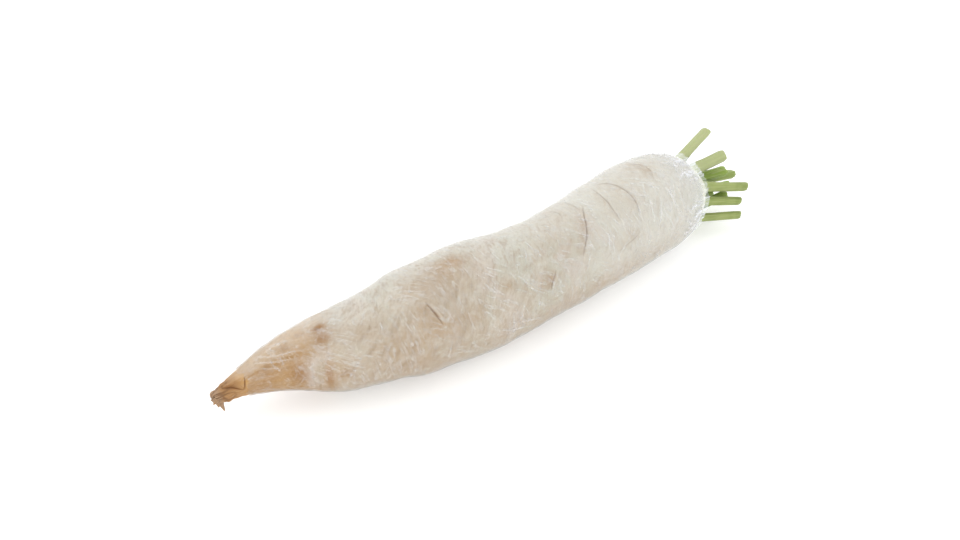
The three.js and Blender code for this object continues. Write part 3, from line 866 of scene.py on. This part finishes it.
def stalk_grid(side, up, lean, toward, length, width, seed):
    """A stalk's points, row by row from its foot to the rim of the cut, and then in over the cut."""
    place, straight, sideways, upward = frame_at(ROOT_LENGTH)
    lean, toward = math.radians(lean), math.radians(toward)
    outward = sideways * math.cos(toward) + upward * math.sin(toward)
    ahead = straight * math.cos(lean) + outward * math.sin(lean)
    inward = ahead * outward.dot(ahead) - outward
    inward /= np.linalg.norm(inward)
    across = np.cross(ahead, inward)
    drop = crown_height(math.hypot(side, up)) - ROOT_LENGTH
    base = place + sideways * side + upward * up + straight * drop - ahead * SOCKET_DEPTH
    share = np.concatenate([[0], np.linspace(0, 1, STALK_ROWS), np.ones(CUT_ROWS)])[:, None]
    inside = np.concatenate([[0], np.ones(STALK_ROWS), np.linspace(0.95, 0, CUT_ROWS)])[:, None]
    turn = np.linspace(0, 2 * math.pi, STALK_COLUMNS, endpoint=False)[None, :]
    flare = 1 + FOOT_FLARE * np.exp(-5 * share)
    channel = 1 - CHANNEL_DEPTH * hump(turn_between(turn, 0), CHANNEL_HALF) * soft_step(share, 0.1, 0.5)
    dice = np.random.default_rng(seed)
    ribs = 0.035 * np.cos(9 * turn + dice.uniform(0, 6)) + 0.02 * np.cos(17 * turn + dice.uniform(0, 6))
    uneven = 1 + (ribs + 0.02 * waves(share * length, turn, seed, 24, 3)) * soft_step(share, 0.02, 0.3) - 0.01
    blunt = 1 - BLUNT_RIM * soft_step(share, 0.955, 1)
    half = width / 2 * flare * inside * uneven * blunt
    inwards = half * FLATNESS * channel * np.cos(turn)
    on_cut = share >= 1
    torn_cut = 0.12 * waves(8 * inside, turn, seed + 50, 2, 9)
    hollow = np.where(on_cut, torn_cut - PITH_HOLLOW * (1 - inside**2), 0)
    far = share * (length + SOCKET_DEPTH) + np.where(on_cut, CUT_SLOPE * inwards + hollow, 0)
    far = far + np.where((share > 0.97) & ~on_cut, 0.12 * inwards, 0)
    grid = base + ahead * far[..., None] + inward * inwards[..., None]
    grid = grid + across * (half * np.sin(turn))[..., None]
    grid[0], grid[-1] = grid[0].mean(0), grid[-1].mean(0)
    return grid, {
        "share": np.broadcast_to(share, half.shape),
        "cut": np.where(on_cut & (np.broadcast_to(inside, half.shape) < 0.99), 1.0, 0.0),
        "straight": np.stack(np.broadcast_arrays(share * length, 3 * np.cos(turn), 3 * np.sin(turn)), -1),
    }


print("the crown falls", round(float(ROOT_LENGTH - crown_height(12)), 1), "mm from its middle to 12 mm out")

# %% [markdown]
# The stalks grew in the light, so they're a yellow green with paler fibres. The inner ones, behind the rest,
# are painted a deeper green: painted shade. The outer ones are painted paler, most at the foot. The cut
# shows its pith.

# %% The stalk's paint
STALK_GREEN, LIGHT_STALK, SHADED_STALK = (0.20, 0.25, 0.066, 1), (0.255, 0.30, 0.095, 1), (0.19, 0.29, 0.022, 1)
PALER_STALK, PALE_FIBRE, PALE_FOOT = (0.375, 0.405, 0.205, 1), (0.38, 0.42, 0.20, 1), (0.48, 0.51, 0.33, 1)
PITH, PALE_PITH = (0.36, 0.40, 0.17, 1), (0.47, 0.50, 0.28, 1)

stalk_paint, tree, out = material_of("leaf_stalk")
straight = stored(tree, "straight", "Vector")
fibres = noise(tree, stretched(tree, straight, (0.05, 1.1, 1.1)), 1.0, 4, 0.6)
blotches = noise(tree, straight, 0.16, 3)
speckle = noise(tree, straight, 2.6, 3)
faded = stored(tree, "faded")
colour = layer(tree, window(tree, blotches, 0.35, 0.65), STALK_GREEN, LIGHT_STALK)
# Painted shade: the stalks behind the others are painted a deeper green.
colour = coat(tree, colour, SHADED_STALK, stored(tree, "deep"))
# The outer stalks are painted paler, and paler still at the foot.
colour = coat(tree, colour, PALER_STALK, faded)
colour = coat(tree, colour, PALE_FIBRE, window(tree, fibres, 0.48, 0.66), 0.4)
colour = coat(tree, colour, PALE_FOOT, window(tree, stored(tree, "share"), 0.30, 0.1), faded)
pith = layer(tree, window(tree, speckle, 0.42, 0.6), PITH, PALE_PITH)
colour = coat(tree, colour, pith, stored(tree, "cut"))
bump = node(tree, "ShaderNodeBump", Height=fibres, Strength=0.4, Distance=0.0004)
plant_surface(tree, out, colour, 0.42, bump, 0.25, 0.15, (0.002, 0.003, 0.001))
print("the stalk's paint has", len(tree.nodes), "nodes")

# %% The ten stalks
# The first tuple: how much paler each stalk is painted, most at the foot. The second: how much painted shade
# darkens each, for the stalks behind the others.
PALER_BY_STALK = (1, 0.75, 0, 0.15, 0.1, 0.05, 0.1, 0, 0, 0)  # how pale each stalk is, and how deep a green
STALK_SHADE = (0, 0, 0.75, 0.35, 0, 0.1, 0, 0.5, 0.5, 1)
for number, row in enumerate(STALKS, 1):
    grid, values = stalk_grid(*row, seed=60 + number)
    values["faded"] = np.full(grid.shape[:2], PALER_BY_STALK[number - 1])
    values["deep"] = np.full(grid.shape[:2], STALK_SHADE[number - 1])
    stalk = tube_object(f"cut_stalk_{number}", grid, values, stalk_paint)
    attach(stalk, "root")
    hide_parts(f"leaf_stalk_{number}")
print(len(STALKS), "stalks of", len(stalk.data.polygons), "faces each")

# %% [markdown]
# ## The film
# Stretch film is a few hundredths of a millimetre thick, so here it is a single open sheet over the skin.
# It is wound round the root, and its free edge overlaps the first turn along the back. Tension draws it
# into fine slanting wrinkles. At the crown it is bunched in pleats and stands up as a ragged collar round
# the stalks, and it is gathered lengthwise where it ends near the tip. A cloth simulation would need a much
# finer mesh for such wrinkles, so they're waves with sharp crests, which is what taut film does.

# %% The film's grid
FILM_START, FILM_END_RADIUS = 20, 25
FILM_ROWS, FILM_COLUMNS = 430, 170
OVERLAP, SEAM = math.radians(24), math.radians(318)
COLLAR = 0.972  # the share of the film's rows beyond which it stands up round the stalks

before_crown = outline[:, 1] <= SHOULDER
first_reach = np.interp(FILM_START, outline[before_crown, 1], outline_reach[before_crown])
past = ~before_crown & (outline[:, 0] >= FILM_END_RADIUS)
last_reach = outline_reach[past].max()
step = np.linspace(0, 1, FILM_ROWS + 1)[:, None]
turn = np.linspace(SEAM - 2 * math.pi - OVERLAP, SEAM, FILM_COLUMNS + 1)[None, :]
start_edge = first_reach + 1.6 * np.sin(3 * turn + 1) + 0.5 * np.sin(11 * turn)
end_edge = last_reach - 1.0 * np.sin(5 * turn) - 0.6 * np.sin(9 * turn + 2) - 0.4 * np.sin(23 * turn)
nearer = soft_step(turn, *np.radians((50, 95))) - soft_step(turn, *np.radians((150, 200)))
end_edge = end_edge + 9 * nearer
stand_up = soft_step(step, COLLAR, 1)
reach = start_edge + (end_edge - start_edge) * np.minimum(step / COLLAR, 1) + 1.5 * stand_up
place = along_curve(outline, outline_reach, reach)
slope = slope_of(outline, outline_reach, reach)
radius, along = place[..., 0], place[..., 1]
turn = np.broadcast_to(turn, radius.shape)
print("the film runs from", round(float(along.min()), 1), "to", round(float(along.max()), 1), "mm")

# %% [markdown]
# The finest marks on film are the glints of folds thinner than the grid: a few drawn ones, and many short
# random ones that lean the way the film was pulled. Like the skin's creases, they're stored as a distance to
# the side, with how milky each one is, and the paint draws the line. These glints are painted highlights:
# pale lines in the film's veil, not reflections. Where a drawn fold crosses a random one, the drawn one wins.

# %% The film's wrinkles
def crests(along, turn, seed, length, rounds, sharp):
    """Thin crests between wide flat hollows, from 0 to 1."""
    return np.clip(1 - np.abs(waves(along, turn, seed, length, rounds)), 0, 1) ** sharp


TAUT_HEIGHT, PLEAT_HEIGHT, GATHER_HEIGHT, HIGHEST_FOLD = 0.16, 0.35, 0.3, 0.6
to_crown = soft_step(along, 286, 322)
to_tip = 1 - soft_step(along, 24, 90)
taut = crests(along, turn, 31, 34, 9, 6) * soft_step(waves(along, turn, 32, 70, 2), -0.2, 1.0)
pleats = crests(along / 9, turn, 33, 60, 30, 3) * to_crown
gathers = crests(along / 4, turn, 34, 60, 18, 4) * to_tip
print("pleats cover", round(100 * float((pleats > 0.5).mean()), 1), "% of the film")

# %% The film's folds
FOLDS = [  # where the film is doubled over in a low fold: path, height, half-width, how milky
    ([(56, 210), (57, 172), (59, 153), (63, 147), (68, 146), (71, 151)], 0.5, 3.0, 0.3),
    ([(28, 66), (38, 107), (52, 122), (63, 128)], 0.25, 0.6, 0.4),
    ([(25, 84), (37, 120), (53, 136)], 0.25, 0.6, 0.5),
    ([(24, 100), (33, 128), (44, 146)], 0.2, 0.5, 0.35),
    ([(32, 64), (44, 88), (58, 100)], 0.2, 0.6, 0.35),
    ([(177, 127), (182, 137), (185.5, 151), (191, 167)], 0.3, 0.6, 0.4),
    ([(160, 176), (172, 187), (189, 199)], 0.2, 0.5, 0.6),
    ([(166, 172), (178, 182), (194, 193)], 0.2, 0.5, 0.5),
    ([(247, 129), (243.5, 142), (240.5, 156)], 0.2, 0.5, 0.5),
    ([(249.5, 134), (245.5, 146), (243.5, 160)], 0.2, 0.5, 0.45),
    ([(265, 146), (255.5, 153), (248, 161)], 0.15, 0.5, 0.6),
    ([(258.5, 149), (252, 156), (246.5, 162)], 0.15, 0.5, 0.5),
    ([(273, 122), (272, 131), (271, 140)], 0.15, 0.5, 0.7),
    ([(283, 123), (280.5, 138), (278, 155)], 0.15, 0.5, 0.6),
    ([(293.5, 124), (287, 143), (279.5, 164)], 0.15, 0.5, 0.6),
    ([(131, 134), (132.5, 143), (134, 152)], 0.2, 1.0, 0.5),
    ([(201.5, 160), (203, 167), (204, 174)], 0.15, 1.0, 0.5),
    ([(298, 116), (298, 138), (292, 160)], 0.15, 0.6, 0.5),
    ([(303, 118), (299, 138), (303, 160)], 0.15, 0.6, 0.5),
    ([(309, 120), (306, 142), (308, 162)], 0.15, 0.6, 0.5),
    ([(296, 40), (304, 62), (310, 84)], 0.35, 0.9, 0.4),
    ([(150, 240), (158, 262), (160, 292)], 0.3, 0.8, 0.6),
    ([(228, 300), (236, 330), (233, 360)], 0.3, 0.8, 0.6),
]


print(len(FOLDS), "folds are drawn")

# %% The film's glints
def streak(along, turn, middle, toward, length, tilt):
    """A short straight line on the skin: how far each point is to its side, and the share of it nearest."""
    x, y = along - middle, UNROLLED_RADIUS * turn_between(turn, math.radians(toward))
    share = 0.5 + (y * math.cos(tilt) - x * math.sin(tilt)) / length
    aside = x * math.cos(tilt) + y * math.sin(tilt)
    return np.where((share > 0) & (share < 1), aside, NONE_NEAR), share


CROWN_GLINTS, TIP_GLINTS = 180, 80
folds, soft_fold, painted_glint_milk = np.zeros((3, *along.shape))
painted_glint_line = np.full(along.shape, NONE_NEAR)
dice = np.random.default_rng(23)
# Each short streak is a painted glint: a pale line in the film's veil, not a reflection.
for number in range(CROWN_GLINTS + TIP_GLINTS):
    middle = dice.uniform(185, 322) if number < CROWN_GLINTS else dice.uniform(30, 185)
    size, tilt = dice.uniform(5, 20), math.radians(dice.uniform(0, 36))
    aside, share = streak(along, turn, middle, dice.uniform(0, 360), size, tilt)
    nearest = np.abs(aside) < np.minimum(np.abs(painted_glint_line), LINE_REACH)
    painted_glint_line = np.where(nearest, aside, painted_glint_line)
    painted_glint_milk = np.where(nearest, dice.uniform(0.08, 0.5) * tapered(share, 0.8), painted_glint_milk)
# Thin drawn folds also get a painted glint line, and wide ones a soft milky band.
for path, rise, width, milk_and_glint in FOLDS:
    aside, share = from_path(along, turn, path)
    folds = np.maximum(folds, rise * hump(aside, width) * tapered(share))
    nearest = np.abs(aside) < 1.3
    painted_glint_line = np.where(nearest, aside, painted_glint_line)
    painted_glint_milk = np.where(nearest, (width < 2) * milk_and_glint * tapered(share, 0.8), painted_glint_milk)
    soft_fold = soft_fold + (width > 2) * milk_and_glint * hump(aside, width) * tapered(share)
calm = 1 - 0.9 * blot(along, turn, 67, 103, 7, 14)  # the film lies flat over the largest brown spot
painted_glint_milk = painted_glint_milk * calm
fold_height = (TAUT_HEIGHT * taut + PLEAT_HEIGHT * pleats + GATHER_HEIGHT * gathers + folds) * calm
print(CROWN_GLINTS + TIP_GLINTS, "glints, and folds up to", round(float(fold_height.max()), 2), "mm high")

# %% The film's height over the skin
FILM_OFF_SKIN, FILM_OFF_TABLE, LAP_STEP = 0.42, 0.12, 0.14
edge_tip = (1 - soft_step(step, 0, 0.012)) * (0.4 + 0.6 * crests(along / 4, turn, 36, 60, 12, 2))
ragged = crests(0 * along, turn, 35, 60, 30, 2)
under_lap = soft_step(turn, SEAM - OVERLAP, SEAM)
height = FILM_OFF_SKIN + np.minimum(fold_height, HIGHEST_FOLD) + 0.25 * edge_tip
height = height + stand_up * (0.8 + 1.6 * nearer + (0.5 + 0.6 * nearer) * ragged)
height = height - LAP_STEP * (1 - under_lap) * (turn < SEAM - 2 * math.pi)
over, ahead = radius + height * slope[..., 1], along - height * slope[..., 0]
film = skin_point(over, ahead, turn, lumps(along, turn))
film[..., 2] = np.maximum(film[..., 2], FILM_OFF_TABLE)
print("film box in mm:", film.reshape(-1, 3).min(0).round(1), film.reshape(-1, 3).max(0).round(1))

# %% [markdown]
# Clear film is mostly a mirror and a veil. It lets nearly all light through, mirrors a little, more at a
# glancing angle, and is milky where it is doubled or creased. So the paint mixes three things: a
# Transparent shader, a gloss that grows by Fresnel, and a pale veil that the crests and the edge turn up.
# The veil also paints highlights: the glint lines and pale streaks are painted highlights, and the
# bluish-white collar at the crown is partly milky film and partly painted highlight. A Glass shader would
# bend the light that reaches the skin, and real film is far too thin for that.

# %% The film's patterns
FILM_TINT = (0.985, 0.99, 0.995, 1)
VEIL, BUNCHED_GLINT_VEIL = (0.80, 0.815, 0.84, 1), (0.84, 0.87, 0.95, 1)


def mixed(tree, share, under, over):
    """Two shaders, mixed by a share from 0 to 1."""
    made = node(tree, "ShaderNodeMixShader", Fac=share)
    join(tree, made.inputs[1], under.outputs[0])
    join(tree, made.inputs[2], over.outputs[0])
    return made


film_paint, tree, out = material_of("stretch_film")
sheet = stored(tree, "sheet", "Vector")
fine = noise(tree, slanted(tree, sheet, 20, (7, 2.4)), 1.0, 5, 0.7, 1.5)
across_glint_streaks = noise(tree, slanted(tree, sheet, 80, (26, 3.2)), 1.0, 3, 0.6, 0.9)
slant_glint_streaks = noise(tree, slanted(tree, sheet, 38, (22, 4.0)), 1.0, 3, 0.6, 0.9)
patches = noise(tree, slanted(tree, sheet, 0, (30, 22)), 1.0, 3, 0.6)
crinkles = noise(tree, slanted(tree, sheet, 10, (4.5, 2.6)), 1.0, 2, 0.5, 1.0)
bump = node(tree, "ShaderNodeBump", Height=fine, Strength=0.4, Distance=0.0006)
fresnel = node(tree, "ShaderNodeFresnel", IOR=1.45, Normal=bump.outputs[0]).outputs[0]
glancing = node(tree, "ShaderNodeLayerWeight", Blend=0.3).outputs["Facing"]
print("the film's patterns take", len(tree.nodes), "nodes")

# %% How milky the film is
# Pale streaks in the veil: painted highlights that stand in for glints on the film.
one = product(tree, ridge(tree, across_glint_streaks, 0.5, 0.045), window(tree, patches, 0.44, 0.6))
two = product(tree, ridge(tree, slant_glint_streaks, 0.5, 0.045), window(tree, patches, 0.54, 0.42))
glint_streaks = maths(tree, "ADD", one, two)
# The stored glint lines, painted as pale lines: painted highlights.
fold_glint_line = product(tree, ridge(tree, stored(tree, "painted_glint_line"), 0, 0.85), stored(tree, "milk_and_glint"))
crinkle = maths(tree, "MULTIPLY_ADD", window(tree, crinkles, 0.4, 0.64), 0.4, 0.2)
milk_and_glint = product(tree, window(tree, fine, 0.5, 0.8), 0.10)
for mark, strength in (
    (stored(tree, "fold"), 0.6), (glint_streaks, 0.22), (fold_glint_line, 0.42), (stored(tree, "bunch_and_glint"), crinkle),
    (window(tree, glancing, 0.6, 1.0), 0.2),
):
    milk_and_glint = maths(tree, "MULTIPLY_ADD", mark, strength, milk_and_glint)
print("with its milk it has", len(tree.nodes))

# %% The film's paint
clear = node(tree, "ShaderNodeBsdfTransparent", Color=FILM_TINT)
gloss = node(tree, "ShaderNodeBsdfGlossy", Color=(1, 1, 1, 1), Roughness=0.16, Normal=bump.outputs[0])
# The collar at the crown is painted bluish white: partly bunched film, partly a painted highlight.
veil_colour = layer(tree, stored(tree, "bunch_and_glint"), VEIL, BUNCHED_GLINT_VEIL)
veil = node(tree, "ShaderNodeBsdfPrincipled", Base_Color=veil_colour, Roughness=0.3, Normal=bump.outputs[0])
pane = mixed(tree, product(tree, fresnel, 0.7), clear, gloss)
whole = mixed(tree, milk_and_glint, pane, veil)
join(tree, out.inputs["Surface"], whole.outputs[0])
print("the film's paint has", len(tree.nodes), "nodes")

# %% The film
rows, columns = film.shape[:2]
values = {
    "sheet": np.stack([along, UNROLLED_RADIUS * turn, 0 * turn], -1).reshape(-1, 3),
    "fold": np.clip((0.1 * taut + 0.09 * gathers + soft_fold) * calm, 0, 1).ravel(),
    "painted_glint_line": painted_glint_line.ravel(),
    "milk_and_glint": painted_glint_milk.ravel(),
    # How milky and bluish white the collar is painted: partly bunched film, partly a painted highlight.
    "bunch_and_glint": np.clip(soft_step(step, 0.89, 0.95) * (0.4 + 0.7 * pleats) + 0.12 * stand_up, 0, 1).ravel(),
}
faces = tube_faces(rows, columns, around=False)
wrap = object_of("stretch_wrap", film.reshape(-1, 3), faces, values, film_paint)
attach(wrap, "root")
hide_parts("film_wrap")
mesh_area = sum(face.area for face in wrap.data.polygons)
print("the film's area is", round(mesh_area, 4), "m2, of", len(faces), "faces")
